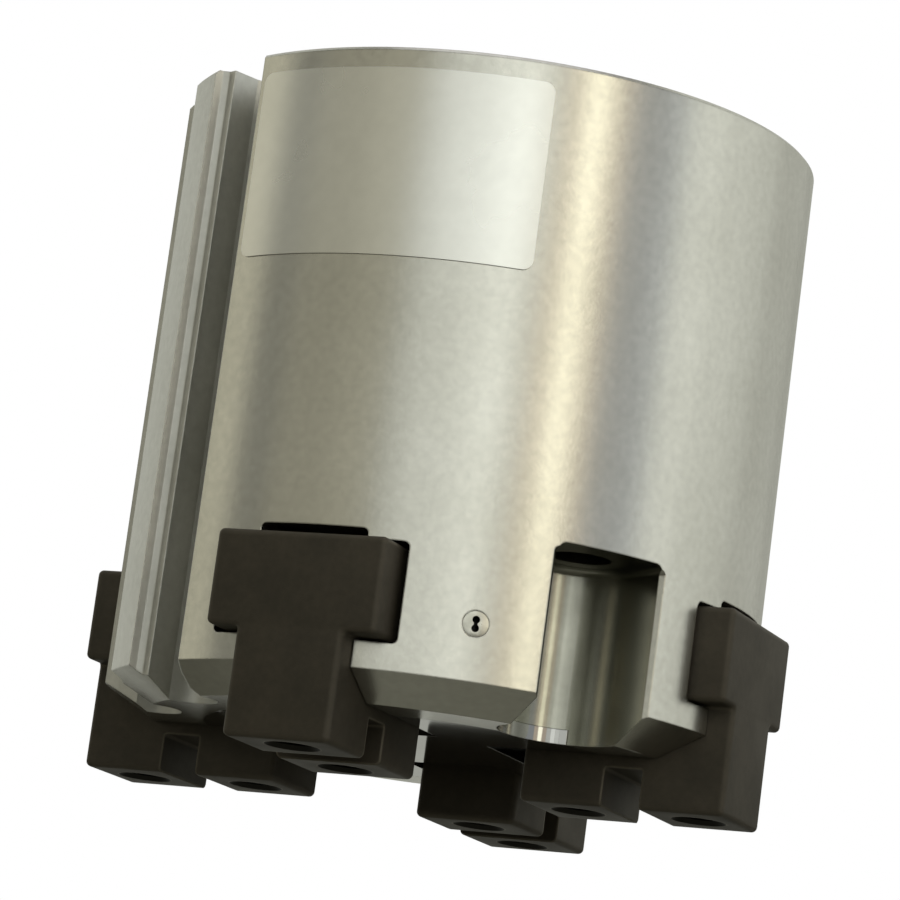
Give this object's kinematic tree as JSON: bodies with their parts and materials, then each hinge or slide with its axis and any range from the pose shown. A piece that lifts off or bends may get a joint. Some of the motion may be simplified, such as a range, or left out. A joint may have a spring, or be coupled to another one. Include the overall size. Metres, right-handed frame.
{
  "type": "four-finger parallel gripper",
  "caption": "Round pneumatic gripper: a wedge cam on a piston rod slides four fingers in and out together along T guides in a slotted aluminium housing.",
  "frame": {"origin": "centre of the mounting face, the flat end away from the fingers", "axes": "+Z out of the mounting face, so the fingers hang towards -Z; finger_1 points to -Y and finger_2 to +X"},
  "size_m": [0.0384, 0.0384, 0.038],
  "materials": {
    "anodised": "clear anodised, satin",
    "bare_aluminium": "turned",
    "stainless": "fine ground",
    "nitrile": "matte",
    "urethane": "satin",
    "spring_steel": "black oxide",
    "hard_steel": "ground",
    "finger_steel": "heat treated, dark brown",
    "magnet": "matte",
    "label": "satin silver film"
  },
  "bodies": {
    "housing": {"body": "anodised", "cap": "anodised", "cap_gasket": "nitrile", "snap_ring": "spring_steel", "bumper": "urethane", "rod_seal": "nitrile", "end_plate": "stainless", "plate_screws": "stainless", "side_pin": "stainless", "label_film": "label"},
    "piston_and_cam": {"piston": "bare_aluminium", "piston_seal": "nitrile", "magnet_ring": "magnet", "low_bumper": "urethane", "rod": "hard_steel", "rod_gasket": "nitrile", "piston_screw": "spring_steel", "cam": "hard_steel", "cam_screw": "spring_steel"},
    "finger_1_body": {"finger_1": "finger_steel"},
    "finger_2_body": {"finger_2": "finger_steel"},
    "finger_3_body": {"finger_3": "finger_steel"},
    "finger_4_body": {"finger_4": "finger_steel"}
  },
  "joints": [
    {"name": "piston_slide", "type": "slide", "parent": "housing", "child": "piston_and_cam", "axis": [0, 0, 1], "range_m": [0, 0.004]},
    {"name": "finger_1_slide", "type": "slide", "parent": "housing", "child": "finger_1_body", "axis": [0, 1, 0], "range_m": [0, 0.002]},
    {"name": "finger_2_slide", "type": "slide", "parent": "housing", "child": "finger_2_body", "axis": [-1, 0, 0], "range_m": [0, 0.002]},
    {"name": "finger_3_slide", "type": "slide", "parent": "housing", "child": "finger_3_body", "axis": [0, -1, 0], "range_m": [0, 0.002]},
    {"name": "finger_4_slide", "type": "slide", "parent": "housing", "child": "finger_4_body", "axis": [1, 0, 0], "range_m": [0, 0.002]}
  ],
  "couplings": [
    {"joint": "finger_1_slide", "follows": "piston_slide", "ratio": 0.5},
    {"joint": "finger_2_slide", "follows": "piston_slide", "ratio": 0.5},
    {"joint": "finger_3_slide", "follows": "piston_slide", "ratio": 0.5},
    {"joint": "finger_4_slide", "follows": "piston_slide", "ratio": 0.5}
  ]
}
